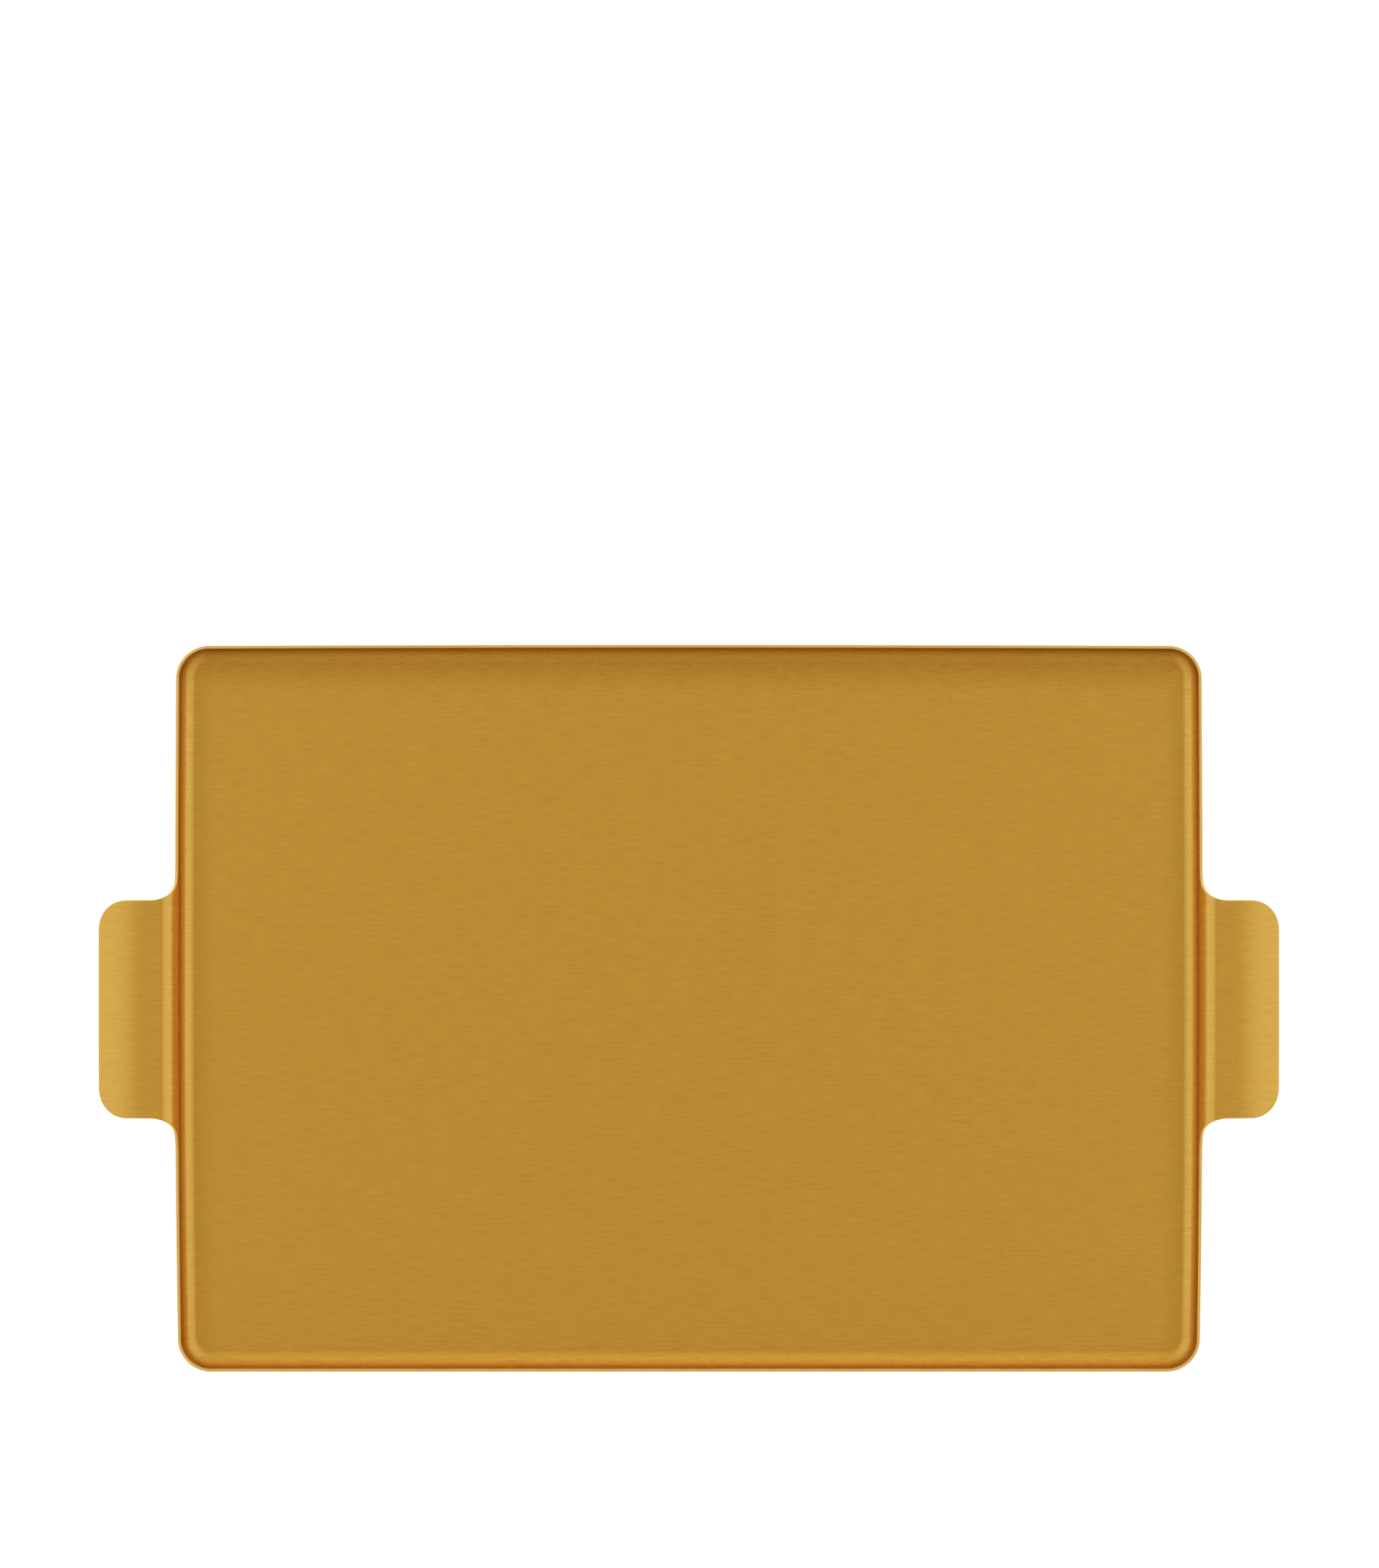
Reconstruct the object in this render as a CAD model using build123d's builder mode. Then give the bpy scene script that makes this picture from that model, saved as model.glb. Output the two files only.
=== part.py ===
"""Pressed serving tray: one sheet with its two handles left on it, on four stick-on bumper feet.

The sheet is 1.2 mm thick everywhere. Its floor is flat, its edge is turned up into a low wall with
rounded corners, and in the middle of each short side the wall runs on upwards, rolls over outwards
and ends in a lug that droops towards its tip, which is the handle. Each foot is a soft bumper held
to the underside by its own disc of adhesive film.

Millimetres. The origin is on the table under the middle of the tray, +X runs through the two
handles and +Z is up.
"""

from build123d import *
from math import cos, pi, radians, sin
import os

# ---- driving dimensions: the sheet ----
BODY_LENGTH = 420.0  # X, outside the walls at the rim
BODY_WIDTH = 297.0  # Y, outside the walls at the rim
SHEET = 1.2  # thickness of the metal
CORNER_RADIUS = 13.3  # outside the wall at the rim, seen from above
FLOOR_BEND = 6.0  # inside radius where the floor turns up into the wall
WALL_DRAFT = 4.0  # degrees that the wall leans outwards
RIM_HEIGHT = 10.0  # from the floor's top face to the wall's cut edge

# ---- driving dimensions: the handles ----
HANDLE_WIDTH = 89.0  # Y, of the lug
HANDLE_REACH = 30.8  # X, from the rim's outside to the lug's tip
HANDLE_RISE = 0.8  # how far the wall runs on above the rim before it rolls over
HANDLE_BEND = 5.5  # underside radius of the roll-over
ROOT_RADIUS = 14.0  # of the cut edge where the rim runs up into the lug, on the flat sheet
LUG_CORNER = 12.0  # of the lug's two free corners
DROOP_RADIUS = 44.0  # top face of the lug's drooping end
DROOP_ANGLE = 24.0  # degrees below level at the tip

# ---- driving dimensions: the feet ----
BUMPER_DIAMETER = 12.7
BUMPER_HEIGHT = 3.5
BUMPER_DRAFT = 8.0  # degrees that its side leans in towards the table
BUMPER_EDGE = 0.5  # rounding of its lower edge
FILM_DIAMETER = 11.7
FILM_THICKNESS = 0.15
FOOT_INSET = 27.0  # foot centre to the rim's outside, in X and in Y

# ---- levels and lengths that follow from them ----
UNDERSIDE = BUMPER_HEIGHT + FILM_THICKNESS
RIM = UNDERSIDE + SHEET + RIM_HEIGHT
ROLL_ANGLE = 90 - WALL_DRAFT
ROLL_RADIUS = HANDLE_BEND + SHEET / 2  # to the middle of the sheet, as is the next one
DROOP_MIDDLE = DROOP_RADIUS - SHEET / 2
LUG_TIP = BODY_LENGTH / 2 + HANDLE_REACH
OVERLAP = 2.0  # how far the handle's strip reaches down into the wall that it grows from
STAND_OFF = 0.5  # how far a cutter reaches past each face of the sheet
ROOT_POINTS = 9  # along the root's curve


# The middle of the handle's sheet, as a line in X and Z from inside the wall to the lug's tip
with BuildLine() as handle_line:
    rim_middle = Vector(BODY_LENGTH / 2 - SHEET / 2 / cos(radians(WALL_DRAFT)), RIM)
    wall = PolarLine(
        rim_middle - Vector(OVERLAP, 0).rotate(Axis.Z, ROLL_ANGLE),
        OVERLAP + HANDLE_RISE,
        ROLL_ANGLE,
    )
    roll = JernArc(wall @ 1, wall % 1, ROLL_RADIUS, -ROLL_ANGLE)
    droop_run = DROOP_RADIUS * sin(radians(DROOP_ANGLE))
    level = Line(roll @ 1, (LUG_TIP - droop_run, (roll @ 1).Y))
    JernArc(level @ 1, level % 1, DROOP_MIDDLE, -DROOP_ANGLE)

with BuildSketch(Plane.XZ) as handle_section:
    with BuildLine():
        add(handle_line.line)
    trace(line_width=SHEET)


def sheet_plane(distance, depth=SHEET / 2):
    """Plane across the handle's sheet: so far from the rim along it, so deep under its top face."""
    place = (OVERLAP + distance) / handle_line.wire().length
    middle = handle_line.wire() @ place
    heading = handle_line.wire() % place
    lift = SHEET / 2 - depth
    origin = (middle.X - lift * heading.Y, 0, middle.Y + lift * heading.X)
    return Plane(origin, x_dir=(0, 1, 0), z_dir=(heading.X, 0, heading.Y))


def root_curve(depth, side):
    """The cut edge from the rim up to the lug's side, which is a quarter circle on the flat sheet."""
    points = []
    for step in range(ROOT_POINTS):
        turn = pi / 2 * step / (ROOT_POINTS - 1)
        across = HANDLE_WIDTH / 2 + ROOT_RADIUS * (1 - sin(turn))
        across_sheet = sheet_plane(ROOT_RADIUS * (1 - cos(turn)), depth)
        points.append(across_sheet.from_local_coords((side * across, 0, 0)))
    return Spline(*points, mode=Mode.PRIVATE)


# The handle's root: the rolled-over strip, cut back on each side to the root's curve
with BuildPart() as handle_root:
    extrude(handle_section.sketch, amount=HANDLE_WIDTH / 2 + ROOT_RADIUS, both=True)
    split(bisect_by=sheet_plane(ROOT_RADIUS), keep=Keep.BOTTOM)
    for side in (-1, 1):
        cut = Face.make_surface_from_curves(
            root_curve(-STAND_OFF, side),
            root_curve(SHEET + STAND_OFF, side),
        )
        extrude(cut, amount=2 * ROOT_RADIUS, dir=(0, side, 0), mode=Mode.SUBTRACT)

# The handle's lug, from the root's end to the tip, with its two free corners rounded off
with BuildPart() as handle_lug:
    extrude(handle_section.sketch, amount=HANDLE_WIDTH / 2, both=True)
    tip = sheet_plane(handle_line.wire().length - OVERLAP)
    with BuildSketch(Plane(tip.origin, x_dir=tip.x_dir, z_dir=tip.y_dir)):
        with GridLocations(HANDLE_WIDTH, 0, 2, 1):
            Rectangle(2 * LUG_CORNER, 2 * LUG_CORNER)
        with Locations((0, LUG_CORNER)):
            with GridLocations(HANDLE_WIDTH - 2 * LUG_CORNER, 0, 2, 1):
                Circle(LUG_CORNER, mode=Mode.SUBTRACT)
    extrude(amount=LUG_CORNER, both=True, mode=Mode.SUBTRACT)
    split(bisect_by=sheet_plane(ROOT_RADIUS), keep=Keep.TOP)

# The space inside the tray, down to the floor's top face
with BuildPart() as tray_hollow:
    rim_edge = SHEET / cos(radians(WALL_DRAFT))
    with BuildSketch(Plane.XY.offset(RIM)):
        RectangleRounded(
            BODY_LENGTH - 2 * rim_edge,
            BODY_WIDTH - 2 * rim_edge,
            CORNER_RADIUS - rim_edge,
        )
    extrude(amount=-RIM_HEIGHT, taper=WALL_DRAFT)
    fillet(tray_hollow.faces().sort_by(Axis.Z)[0].edges(), FLOOR_BEND)

# The tray itself: floor, wall and both handles in one sheet
with BuildPart() as tray_pan:
    with BuildSketch(Plane.XY.offset(RIM)):
        RectangleRounded(BODY_LENGTH, BODY_WIDTH, CORNER_RADIUS)
    extrude(amount=-(RIM - UNDERSIDE), taper=WALL_DRAFT)
    fillet(tray_pan.faces().sort_by(Axis.Z)[0].edges(), FLOOR_BEND + SHEET)
    add(tray_hollow.part, mode=Mode.SUBTRACT)
    for turn in (0, 180):
        add(handle_root.part, rotation=(0, 0, turn))
        add(handle_lug.part, rotation=(0, 0, turn))

tray_pan.part.label = "tray_pan"
pieces = [tray_pan.part]

# The feet: a bumper under each corner of the floor, and the film between it and the floor
foot_x = BODY_LENGTH / 2 - FOOT_INSET
foot_y = BODY_WIDTH / 2 - FOOT_INSET
foot_places = {
    "front_left": (-foot_x, -foot_y),
    "front_right": (foot_x, -foot_y),
    "back_left": (-foot_x, foot_y),
    "back_right": (foot_x, foot_y),
}
for corner, place in foot_places.items():
    with BuildPart() as bumper:
        with BuildSketch(Plane.XY.offset(BUMPER_HEIGHT)):
            with Locations(place):
                Circle(BUMPER_DIAMETER / 2)
        extrude(amount=-BUMPER_HEIGHT, taper=BUMPER_DRAFT)
        fillet(bumper.faces().sort_by(Axis.Z)[0].edges(), BUMPER_EDGE)
    bumper.part.label = f"foot_bumper_{corner}"
    pieces.append(bumper.part)

    with BuildPart() as film:
        with BuildSketch(Plane.XY.offset(BUMPER_HEIGHT)):
            with Locations(place):
                Circle(FILM_DIAMETER / 2)
        extrude(amount=FILM_THICKNESS)
    film.part.label = f"foot_adhesive_{corner}"
    pieces.append(film.part)

os.makedirs("parts", exist_ok=True)
for piece in pieces:
    export_step(piece, f"parts/{piece.label}.step")
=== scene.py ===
"""A satin brass serving tray: one pressed sheet with its two handles, on four stick-on feet."""

import bpy
from math import cos, pi, radians, sin
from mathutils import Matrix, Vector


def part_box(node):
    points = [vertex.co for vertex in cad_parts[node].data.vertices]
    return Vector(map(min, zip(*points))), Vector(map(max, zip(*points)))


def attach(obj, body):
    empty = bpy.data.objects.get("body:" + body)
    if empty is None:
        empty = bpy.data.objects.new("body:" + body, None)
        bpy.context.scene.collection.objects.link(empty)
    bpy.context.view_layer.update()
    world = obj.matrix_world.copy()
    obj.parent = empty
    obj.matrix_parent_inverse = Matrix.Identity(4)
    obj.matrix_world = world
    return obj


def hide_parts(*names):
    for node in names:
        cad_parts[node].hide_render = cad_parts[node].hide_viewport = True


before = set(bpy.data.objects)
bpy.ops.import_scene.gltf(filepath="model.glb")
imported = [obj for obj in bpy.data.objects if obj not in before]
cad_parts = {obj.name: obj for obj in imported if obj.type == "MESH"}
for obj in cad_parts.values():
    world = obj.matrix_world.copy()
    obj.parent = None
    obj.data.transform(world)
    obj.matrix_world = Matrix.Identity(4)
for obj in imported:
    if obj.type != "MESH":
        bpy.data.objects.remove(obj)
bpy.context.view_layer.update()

# ---- Camera ----
# It looks straight down and hangs behind the tray's middle, so that the tray stands low in the
# picture and more shows of its front wall's inside than of its back wall's.
mm = 0.001
pan_low, pan_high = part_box("tray_pan")
rim_height = 10.0 * mm  # above the floor's top face
sheet = 1.2 * mm
rim_level = pan_low.z + sheet + rim_height
camera_above_rim = 1.75
picture_tall = 0.6404  # what the picture takes in, at the rim's level
picture_above = 0.0916  # the picture's middle is so far behind the tray's
picture_aside = 0.25 * mm  # and so far to its right

camera_data = bpy.data.cameras.new("overhead_camera")
camera_data.lens = camera_data.sensor_width * camera_above_rim / picture_tall
camera = bpy.data.objects.new("overhead_camera", camera_data)
camera.location = (picture_aside, picture_above, rim_level + camera_above_rim)
bpy.context.scene.collection.objects.link(camera)
bpy.context.scene.camera = camera
bpy.context.scene.view_settings.view_transform = "Standard"


# ---- Finishes ----
# Each finish is a node tree written as plain expressions: a Grade is one value in it, and
# arithmetic on a Grade adds the node that does it.
class Grade:
    """One value, colour or vector in a finish."""

    def __init__(self, finish, socket):
        self.finish = finish
        self.socket = socket

    def maths(self, operation, *terms):
        return self.finish.node("Math", {"operation": operation}, dict(enumerate(terms)))

    def __add__(self, other):
        return self.maths("ADD", self, other)

    def __radd__(self, other):
        return self.maths("ADD", other, self)

    def __sub__(self, other):
        return self.maths("SUBTRACT", self, other)

    def __rsub__(self, other):
        return self.maths("SUBTRACT", other, self)

    def __mul__(self, other):
        return self.maths("MULTIPLY", self, other)

    def __rmul__(self, other):
        return self.maths("MULTIPLY", other, self)


class Finish:
    """A material, and the nodes that its expressions add."""

    def __init__(self, name):
        self.material = bpy.data.materials.new(name)
        self.material.use_nodes = True
        self.nodes = self.material.node_tree.nodes
        self.links = self.material.node_tree.links
        self.surface = self.nodes["Principled BSDF"]

    def node(self, kind, settings, inputs, output=0):
        """Adds a node of a kind, sets it up, feeds its inputs and gives back one of its outputs."""
        added = self.nodes.new("ShaderNode" + kind)
        for setting, value in settings.items():
            setattr(added, setting, value)
        for place, value in inputs.items():
            self.feed(added.inputs[place], value)
        return Grade(self, added.outputs[output])

    def feed(self, socket, value):
        if isinstance(value, Grade):
            self.links.new(value.socket, socket)
        else:
            socket.default_value = value

    def blend(self, share, first, second):
        """Colour that goes from the first to the second as share goes from 0 to 1."""
        return self.node(
            "Mix",
            {"data_type": "RGBA"},
            {"Factor": share, 6: first, 7: second},
            output=2,
        )

    def step(self, value, low, high):
        """Goes smoothly from 0 to 1 as a value goes from low to high."""
        edges = {"Value": value, "From Min": low, "From Max": high}
        return self.node("MapRange", {"interpolation_type": "SMOOTHSTEP"}, edges)

    def set(self, **sockets):
        """Feeds the surface's own sockets, whose spaces are written as underscores."""
        for name, value in sockets.items():
            self.feed(self.surface.inputs[name.replace("_", " ")], value)


# ---- Floor and light ----
# A white table top 12 m across that glows a little, so that it comes out pure white, and a room
# that is brightest low down behind the tray, as a faintly violet window, and next on its left and
# right. It is dimmest half way up in front. But for the window, brighter parts are also bluer.
table_finish = Finish("white_table")
table_finish.set(Base_Color=(0.55, 0.55, 0.55, 1), Roughness=0.9)
table_finish.set(Emission_Color=(1, 1, 1, 1), Emission_Strength=0.75)
bpy.ops.mesh.primitive_plane_add(size=12, location=(0, 0, 0))
table_top = bpy.context.object
table_top.name = "table_top"
table_top.data.materials.append(table_finish.material)


class Room(Finish):
    """The light all round, as a finish on the world."""

    def __init__(self, name):
        world = bpy.data.worlds.new(name)
        bpy.context.scene.world = world
        world.use_nodes = True
        self.nodes = world.node_tree.nodes
        self.links = world.node_tree.links
        self.surface = self.nodes["Background"]


room = Room("white_room")
way = room.node("TexCoord", {}, {}, output="Generated")
way_x = room.node("SeparateXYZ", {}, {0: way}, output="X")
way_y = room.node("SeparateXYZ", {}, {0: way}, output="Y")
aside = way_x.maths("ABSOLUTE", way_x)
overhead = 0.46 * room.step(way_y, -0.45, -0.20) - 0.16 * room.step(way_y, -0.15, 0.10)
behind = 0.18 * room.step(way_y, 0.1, 0.6)
in_front = 0.56 + 0.4 * (1 - room.step(way_y, -1.0, -0.85))
side_windows = 0.55 * room.step(aside, 0.10, 0.48)
side_ends = 0.14 * room.step(aside, 0.75, 0.90) - 0.22 * room.step(aside, 0.92, 1.0)
brightness = overhead + behind + in_front + side_windows + side_ends
window = room.step(way_y, 0.92, 1.0)
red = brightness.maths("POWER", brightness, 0.72) + 1.3 * window
green = brightness + 1.15 * window
blue = brightness.maths("POWER", brightness, 1.8) + 1.5 * window
room_colour = room.node("CombineColor", {}, {"Red": red, "Green": green, "Blue": blue})
room.set(Color=room_colour, Strength=0.735)

# ---- Tray pan ----
# One piece of 1.2 mm sheet: a flat floor, a low wall that leans out a little, and on each short
# side a tongue of the same sheet that rolls over outwards into a handle. Its cut edge is rounded
# by 0.28 mm. All lengths along the sheet are taken at its middle, from where the floor turns up.
half = sheet / 2
wall_lean = radians(4)  # off upright
floor_bend = 6.0 * mm + half
roll_bend = 5.5 * mm + half  # where the wall rolls over into the handle
roll_rise = 0.8 * mm  # above the rim before it does
handle_reach = 30.8 * mm
handle_half = 44.5 * mm
root_radius = 14.0 * mm
lug_corner = 12.0 * mm
droop_bend = 44.0 * mm - half
droop = radians(24)
rim_corner = 13.3 * mm
edge_round = 0.28 * mm
front_pull = 1.4 * mm  # how far the short sides' front ends stand in from straight
back_pull = 0.5 * mm  # their back ends
side_pull = 0.5 * mm  # and the back side's ends

upright = pi / 2 - wall_lean
rim_x = pan_high.x - handle_reach
rim_y = pan_high.y
wall_length = (rim_height + half - floor_bend * (1 - cos(upright))) / sin(upright)
rim_at = floor_bend * upright + wall_length  # along the sheet
rim_out = floor_bend * sin(upright) + wall_length * cos(upright) + half / sin(upright)
floor_corner = rim_corner - rim_out
core_x = rim_x - rim_corner  # the middles of the corners' arcs
core_y = rim_y - rim_corner

# the runs of the sheet's middle line: how long, and how far each bends up
runs = [
    (floor_bend * upright, upright),
    (wall_length + roll_rise, 0.0),
    (roll_bend * upright, -upright),
    (0.0, 0.0),  # the level run, filled in below
    (droop_bend * droop, -droop),
]
level_run = 3


def along(distance):
    """Where the sheet's middle is, so far along it: how far out, how high, and how steep."""
    if distance <= 0:
        return distance, -half, 0.0
    out, up, slope = 0.0, -half, 0.0
    for length, bend in runs:
        step = min(distance, length)
        turned = bend * step / length if length else 0.0
        chord = step if turned == 0 else 2 * sin(turned / 2) / turned * step
        out += chord * cos(slope + turned / 2)
        up += chord * sin(slope + turned / 2)
        slope += turned
        distance -= step
    return out, up, slope


# the level run makes up what is left of the reach
tip_at = sum(length for length, bend in runs)
tip_out = along(tip_at)[0] + half * sin(droop)
level_length = pan_high.x - core_x - floor_corner - tip_out
runs[level_run] = (level_length, 0.0)
tip_at += level_length

# outline of the tongue on the flat sheet, from the rim's level: rows of one distance along the
# sheet and one half width, round the root's hollow curve, along the lug's side and round its corner
root_steps = 22
lug_corner_steps = 14
root_rows = [pi / 2 * step / root_steps for step in range(root_steps + 1)]
corner_rows = [pi / 2 * step / lug_corner_steps for step in range(lug_corner_steps + 1)]
side_start = rim_at + root_radius
side_end = tip_at - lug_corner
side_rows = 8


def tongue_rows(inset):
    """Each row's distance, half width and edge's heading along and across, inset from the edge."""
    rows = []
    for turn in root_rows:
        distance = side_start - (root_radius + inset) * cos(turn)
        width = handle_half + root_radius - (root_radius + inset) * sin(turn)
        rows.append((distance, width, cos(turn), sin(turn)))
    for step in range(1, side_rows):
        distance = side_start + (side_end - side_start) * step / side_rows
        rows.append((distance, handle_half - inset, 0.0, 1.0))
    for turn in corner_rows:
        distance = side_end + (lug_corner - inset) * sin(turn)
        width = handle_half - lug_corner + (lug_corner - inset) * cos(turn)
        rows.append((distance, width, sin(turn), cos(turn)))
    return rows


# stations round half of the tray, each with the point it is measured from and its way out
tongue_half = handle_half + root_radius
tongue_columns = 24  # each side of the middle
end_columns = 12
corner_columns = 16
long_columns = 40

# rings of the sheet, by how far they are along it
floor_levels = (1.0, 0.6, 0.25)  # as shares of the floor's corner radius, inside the bend
bend_levels = 14
wall_levels = 5

stations = []
for step in range(end_columns):
    y = -core_y + (core_y - tongue_half) * step / end_columns
    stations.append(((core_x, y), (1.0, 0.0)))
tongue_first = len(stations)
for column in range(-tongue_columns, tongue_columns + 1):
    stations.append(((core_x, tongue_half * column / tongue_columns), (1.0, 0.0)))
tongue_last = len(stations) - 1
for step in range(1, end_columns):
    y = tongue_half + (core_y - tongue_half) * step / end_columns
    stations.append(((core_x, y), (1.0, 0.0)))
for step in range(corner_columns):
    turn = pi / 2 * step / corner_columns
    stations.append(((core_x, core_y), (cos(turn), sin(turn))))
for step in range(long_columns):
    stations.append(((core_x - 2 * core_x * step / long_columns, core_y), (0.0, 1.0)))
for step in range(corner_columns):
    turn = pi / 2 * (1 + step / corner_columns)
    stations.append(((-core_x, core_y), (cos(turn), sin(turn))))
half_way = len(stations)
stations += [((-x, -y), (-out_x, -out_y)) for (x, y), (out_x, out_y) in stations]

floor_top = pan_low.z + sheet
spots = []  # (place, way that the surface faces, place on the flat sheet, 1 on the cut edge)


def spot(station, distance, height, lean=0.0, across=0.0, edge=(1.0, 0.0)):
    """Adds a point of the sheet's surface and gives back its number.

    It is height off the sheet's middle, and faces lean away from the middle's own facing towards
    the edge, whose heading on the flat sheet is along it and across it.
    """
    (base_x, base_y), (out_x, out_y) = station
    out, up, slope = along(distance)
    reach = floor_corner + out - height * sin(slope)
    x = base_x + out_x * reach - out_y * across
    y = base_y + out_y * reach + out_x * across
    z = floor_top + up + height * cos(slope)
    flat_reach = floor_corner + distance
    flat_x = base_x + out_x * flat_reach - out_y * across
    flat_y = base_y + out_y * flat_reach + out_x * across
    outward = -sin(slope) * cos(lean) + cos(slope) * edge[0] * sin(lean)
    upward = cos(slope) * cos(lean) + sin(slope) * edge[0] * sin(lean)
    sideways = edge[1] * sin(lean)
    faces = (
        outward * out_x - sideways * out_y,
        outward * out_y + sideways * out_x,
        upward,
    )
    end_pull = back_pull if y > 0 else front_pull
    drawn_x = x * (1 - end_pull / rim_x * (y / rim_y) ** 2)
    drawn_y = y * (1 - side_pull / rim_y * (x / rim_x) ** 2) if y > 0 else y
    cut = 0.0 if lean in (0.0, pi) else 1.0
    spots.append(((drawn_x, drawn_y, z), faces, (flat_x, flat_y), cut))
    return len(spots) - 1


def skin(height, lean):
    """One face of the sheet: its quads' corners, and the loop of its spots next to the cut edge."""
    quads = []
    rings = []
    levels = [-share * floor_corner for share in floor_levels]
    levels += [floor_bend * upright * step / bend_levels for step in range(bend_levels + 1)]
    levels += [
        floor_bend * upright + (wall_length - edge_round) * step / wall_levels
        for step in range(1, wall_levels + 1)
    ]
    # a corner's arc shrinks to one spot on the innermost ring
    shared = {}
    for station in stations:
        if station[0] not in shared:
            shared[station[0]] = spot(station, levels[0], height, lean)
    rings.append([shared[station[0]] for station in stations])
    for level in levels[1:]:
        rings.append([spot(station, level, height, lean) for station in stations])
    around = len(stations)
    for inner, outer in zip(rings, rings[1:]):
        for here in range(around):
            there = (here + 1) % around
            corners = [inner[here], outer[here], outer[there], inner[there]]
            quads.append(list(dict.fromkeys(corners)))
    # the floor's middle
    innermost = rings[0]
    right = [here for here in range(half_way) if stations[here][1] == (1.0, 0.0)]
    top_first = right[-1] + corner_columns
    columns = long_columns + 1
    grid = []
    for row, here in enumerate(right):
        line = []
        for column in range(columns):
            if column == 0:
                line.append(innermost[here])
            elif column == long_columns:
                line.append(innermost[(half_way + right[-1 - row]) % around])
            elif row == len(right) - 1:
                line.append(innermost[top_first + column])
            elif row == 0:
                line.append(innermost[(half_way + top_first + long_columns - column) % around])
            else:
                x = core_x - 2 * core_x * column / long_columns
                place = ((x, stations[here][0][1]), (1.0, 0.0))
                line.append(spot(place, -floor_corner, height, lean))
        grid.append(line)
    for low, high in zip(grid, grid[1:]):
        for column in range(long_columns):
            quads.append([low[column], high[column], high[column + 1], low[column + 1]])
    # the two tongues
    edge_loop = []
    for turn in (0, half_way):
        rows = [rings[-1][turn + tongue_first : turn + tongue_last + 1]]
        middle = stations[turn + tongue_first + tongue_columns]
        for distance, width, _, _ in tongue_rows(edge_round)[1:]:
            row = []
            for column in range(-tongue_columns, tongue_columns + 1):
                across = width * column / tongue_columns
                row.append(spot(middle, distance, height, lean, across))
            rows.append(row)
        for low, high in zip(rows, rows[1:]):
            for column in range(2 * tongue_columns):
                quads.append([low[column], high[column], high[column + 1], low[column + 1]])
        edge_loop += [row[0] for row in rows]
        edge_loop += rows[-1][1:-1]
        edge_loop += [row[-1] for row in reversed(rows)]
        for here in range(tongue_last + 1, half_way + tongue_first):
            edge_loop.append(rings[-1][(turn + here) % around])
    return quads, edge_loop


def edge_ring(inset, height, lean):
    """A loop of spots round the cut edge, in the same order as a skin's edge loop."""
    loop = []
    rim = rim_at - inset
    rows = tongue_rows(inset)
    for turn in (0, half_way):
        middle = stations[turn + tongue_first + tongue_columns]
        for distance, width, ahead, sideways in rows:
            loop.append(spot(middle, distance, height, lean, -width, (ahead, -sideways)))
        distance, width, *_ = rows[-1]
        for column in range(1 - tongue_columns, tongue_columns):
            across = width * column / tongue_columns
            loop.append(spot(middle, distance, height, lean, across))
        for distance, width, ahead, sideways in reversed(rows):
            loop.append(spot(middle, distance, height, lean, width, (ahead, sideways)))
        for here in range(tongue_last + 1, half_way + tongue_first):
            station = stations[(turn + here) % len(stations)]
            loop.append(spot(station, rim, height, lean))
    return loop


top_quads, top_edge = skin(half, 0.0)
under_quads, under_edge = skin(-half, pi)
quads = top_quads + [quad[::-1] for quad in under_quads]
edge_steps = 5
loops = [top_edge]
for step in range(1, edge_steps + 1):
    turn = pi / 2 * step / edge_steps
    inset, drop = edge_round * (1 - sin(turn)), edge_round * (1 - cos(turn))
    loops.append(edge_ring(inset, half - drop, turn))
for step in range(edge_steps):
    turn = pi / 2 * (1 - step / edge_steps)
    inset, drop = edge_round * (1 - sin(turn)), edge_round * (1 - cos(turn))
    loops.append(edge_ring(inset, drop - half, pi - turn))
loops.append(under_edge)
for upper, lower in zip(loops, loops[1:]):
    for here in range(len(upper)):
        there = (here + 1) % len(upper)
        quads.append([upper[here], lower[here], lower[there], upper[there]])

pan_mesh = bpy.data.meshes.new("tray_pan_formed")
pan_mesh.from_pydata([place for place, *_ in spots], [], quads)
pan_mesh.shade_smooth()
pan_mesh.normals_split_custom_set_from_vertices([faces for place, faces, *_ in spots])
cut_edge = pan_mesh.attributes.new("cut_edge", "FLOAT", "POINT")
for number, (*_, cut) in enumerate(spots):
    cut_edge.data[number].value = cut
flat_sheet = pan_mesh.uv_layers.new(name="flat_sheet")
for corner in pan_mesh.loops:
    flat_sheet.data[corner.index].uv = spots[corner.vertex_index][2]
formed_pan = bpy.data.objects.new("tray_pan_formed", pan_mesh)
bpy.context.scene.collection.objects.link(formed_pan)

# Its finish: brushing along the flat sheet's length, so that it follows the bends, in strokes 9 mm
# by 0.95 mm, grooves 0.08 mm wide and faint smears 40 mm by 15 mm. The cut edge is paler. The floor
# has painted shade towards its short sides and its back, where the reflections alone don't darken
# it.
brass = Finish("satin_brushed_brass")
stroke_length = 9 * mm
stroke_width = 0.95 * mm
smear_length = 40 * mm
smear_width = 15 * mm
groove_length = 5 * mm
groove_width = 0.08 * mm
groove_depth = 0.052 * mm
on_sheet = brass.node("UVMap", {"uv_map": "flat_sheet"}, {}, output="UV")


def brushed(length, width, detail):
    """Noise drawn out along the sheet's length, from 0 to 1."""
    across_brush = {0: on_sheet, 1: (1 / length, 1 / width, 1)}
    place = brass.node("VectorMath", {"operation": "MULTIPLY"}, across_brush)
    return brass.node(
        "TexNoise",
        {"noise_dimensions": "2D"},
        {"Vector": place, "Scale": 1.0, "Detail": detail, "Roughness": 0.55},
    )


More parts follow.
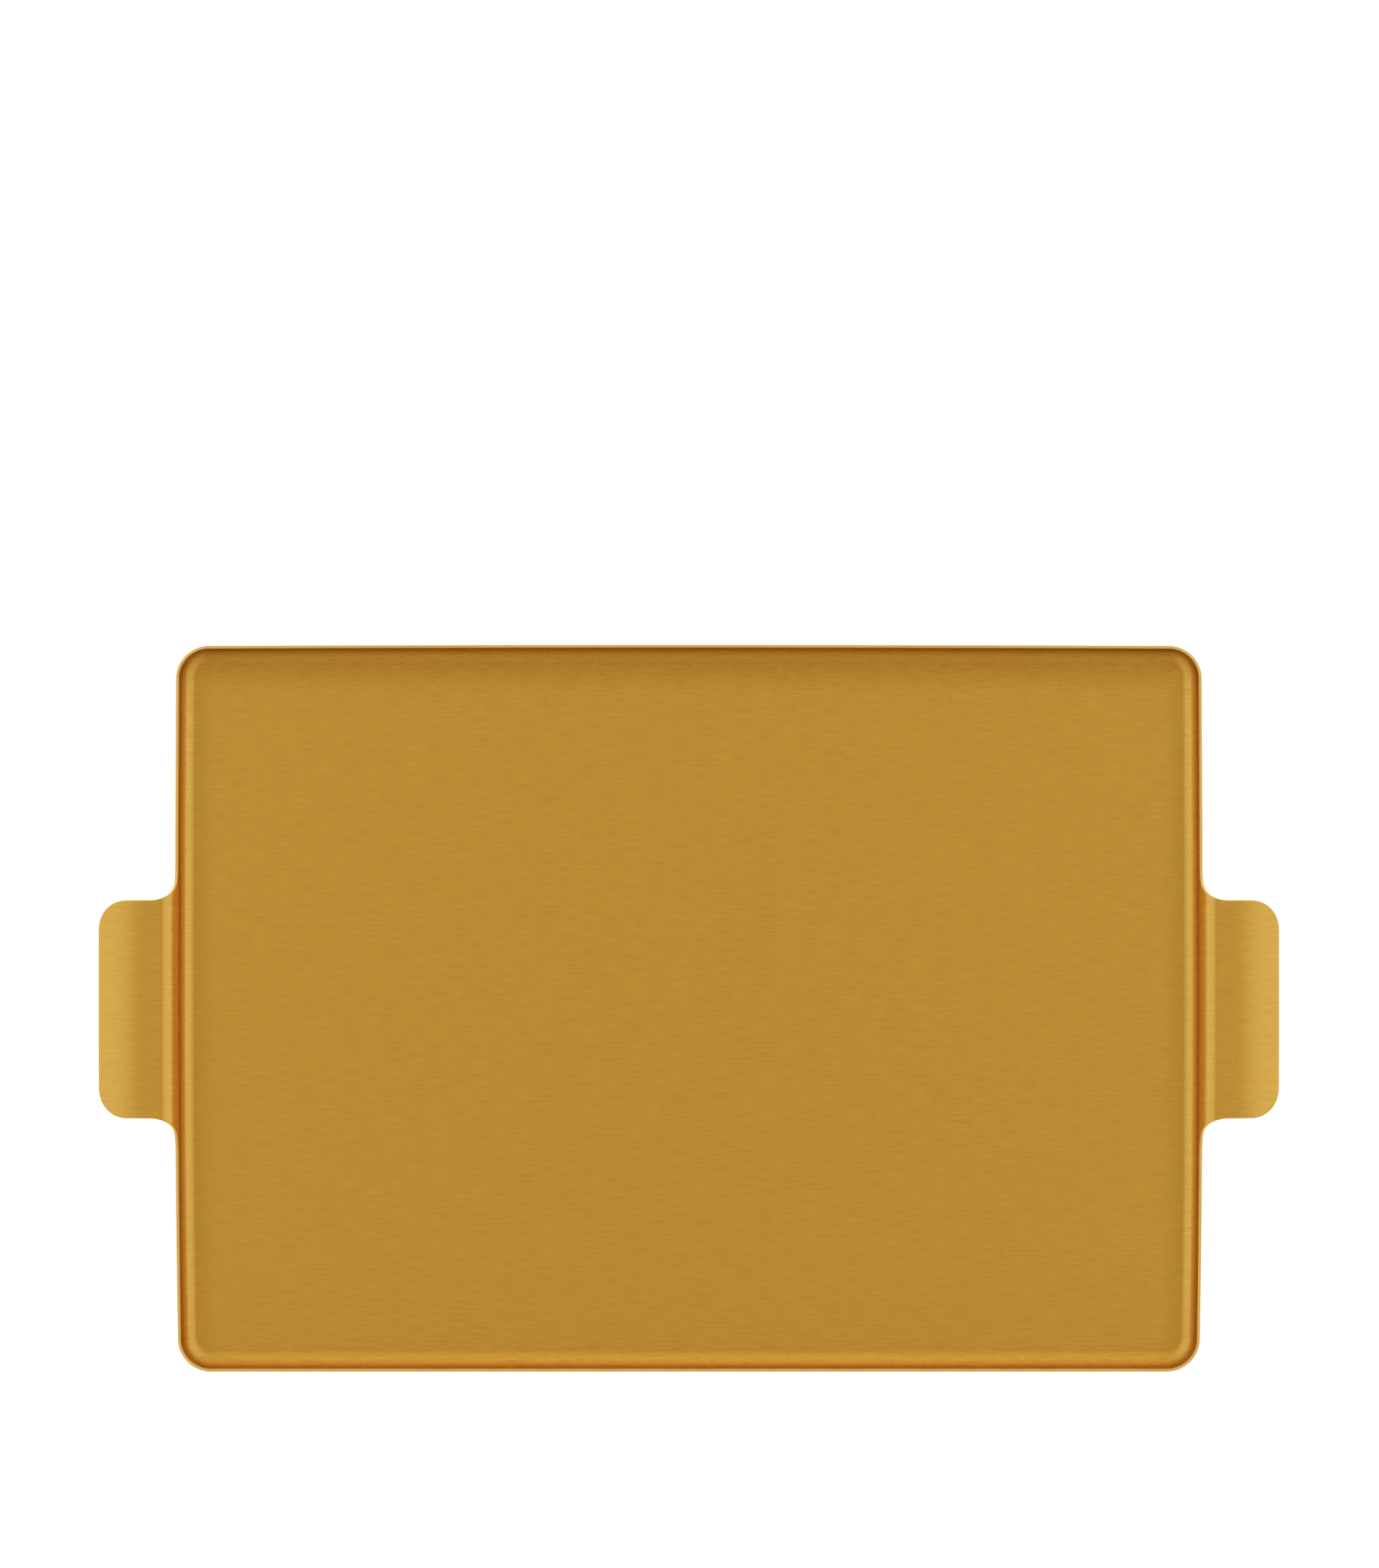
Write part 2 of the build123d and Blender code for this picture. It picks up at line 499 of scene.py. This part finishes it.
strokes = brushed(stroke_length, stroke_width, 2.0)
grooves = brushed(groove_length, groove_width, 1.0)
smears = brushed(smear_length, smear_width, 1.0)
stroke_contrast = 1.05
smear_contrast = 0.1
tone = 0.5 + (strokes - 0.5) * stroke_contrast + (smears - 0.5) * smear_contrast
brass_dark = (0.65, 0.350, 0.047, 1)
brass_light = (0.77, 0.420, 0.062, 1)
edge_brass = (0.82, 0.52, 0.13, 1)
# the colour of the painted shade along the floor's edge
painted_shade_brass = (0.50, 0.255, 0.028, 1)
relief = brass.node(
    "Bump",
    {},
    {"Strength": 1.0, "Distance": groove_depth, "Filter Width": 0.02, "Height": grooves},
)
on_cut_edge = brass.node("Attribute", {"attribute_name": "cut_edge"}, {}, output="Fac")
along_sheet = brass.node("SeparateXYZ", {}, {0: on_sheet}, output="X")
across_sheet = brass.node("SeparateXYZ", {}, {0: on_sheet}, output="Y")
from_middle = along_sheet.maths("ABSOLUTE", along_sheet)
end_line = core_x + floor_corner  # where the floor turns up at the short sides
back_line = core_y + floor_corner  # and at the back
end_band = 9 * mm  # how wide the painted darkening is on the floor
back_band = 13 * mm
band_fade = 5 * mm  # and how far up the bend it goes
end_depth = 0.28
back_depth = 0.42
# painted shade on the floor next to the short sides and the back, fading out up the bend
end_rise = brass.step(from_middle, end_line - end_band, end_line)
end_shade = end_rise - brass.step(from_middle, end_line, end_line + band_fade)
back_rise = brass.step(across_sheet, back_line - back_band, back_line)
back_shade = back_rise - brass.step(across_sheet, back_line, back_line + band_fade)
painted_edge_shade = end_shade.maths("MAXIMUM", end_depth * end_shade, back_depth * back_shade)
face_brass = brass.blend(tone, brass_dark, brass_light)
shaded_brass = brass.blend(painted_edge_shade, face_brass, painted_shade_brass)
brass.set(Base_Color=brass.blend(on_cut_edge, shaded_brass, edge_brass))
brass.set(Metallic=1.0, Roughness=0.20 + 0.06 * strokes + 0.12 * on_cut_edge, Normal=relief)
pan_mesh.materials.append(brass.material)

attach(formed_pan, "root")
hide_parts("tray_pan")

# ---- Feet ----
# Four soft clear bumpers 12.7 mm across, each stuck to the underside with its own 11.7 mm disc of
# adhesive film, all a guess. The solids are used as they are. The bumpers are faintly cloudy in
# patches some 4 mm wide, and the film is mottled in spots under 1 mm.
bumper_finish = Finish("clear_bumper")
on_bumper = bumper_finish.node("TexCoord", {}, {}, output="Object")
cloud_size = 4 * mm
cloud_noise = {"Vector": on_bumper, "Scale": 1 / cloud_size, "Detail": 3.0}
clouds = bumper_finish.node("TexNoise", {}, cloud_noise)
cloudy = (0.66, 0.69, 0.68, 1)
clear = (0.78, 0.80, 0.79, 1)
bumper_colour = bumper_finish.blend(clouds, cloudy, clear)
bumper_finish.set(Base_Color=bumper_colour, Roughness=0.22 + 0.16 * clouds)
bumper_finish.set(IOR=1.49, Transmission_Weight=0.35)

film_finish = Finish("adhesive_film")
on_film = film_finish.node("TexCoord", {}, {}, output="Object")
bubble_size = 0.8 * mm
bubble_noise = {"Vector": on_film, "Scale": 1 / bubble_size, "Detail": 2.0}
bubbles = film_finish.node("TexNoise", {}, bubble_noise)
wetted = (0.72, 0.72, 0.67, 1)
bubbled = (0.86, 0.86, 0.83, 1)
film_colour = film_finish.blend(bubbles, wetted, bubbled)
film_finish.set(Base_Color=film_colour, Roughness=0.35 + 0.3 * bubbles)
film_finish.set(IOR=1.47)

for name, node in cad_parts.items():
    if name.startswith("foot_bumper"):
        node.material_slots[0].material = bumper_finish.material
    elif name.startswith("foot_adhesive"):
        node.material_slots[0].material = film_finish.material
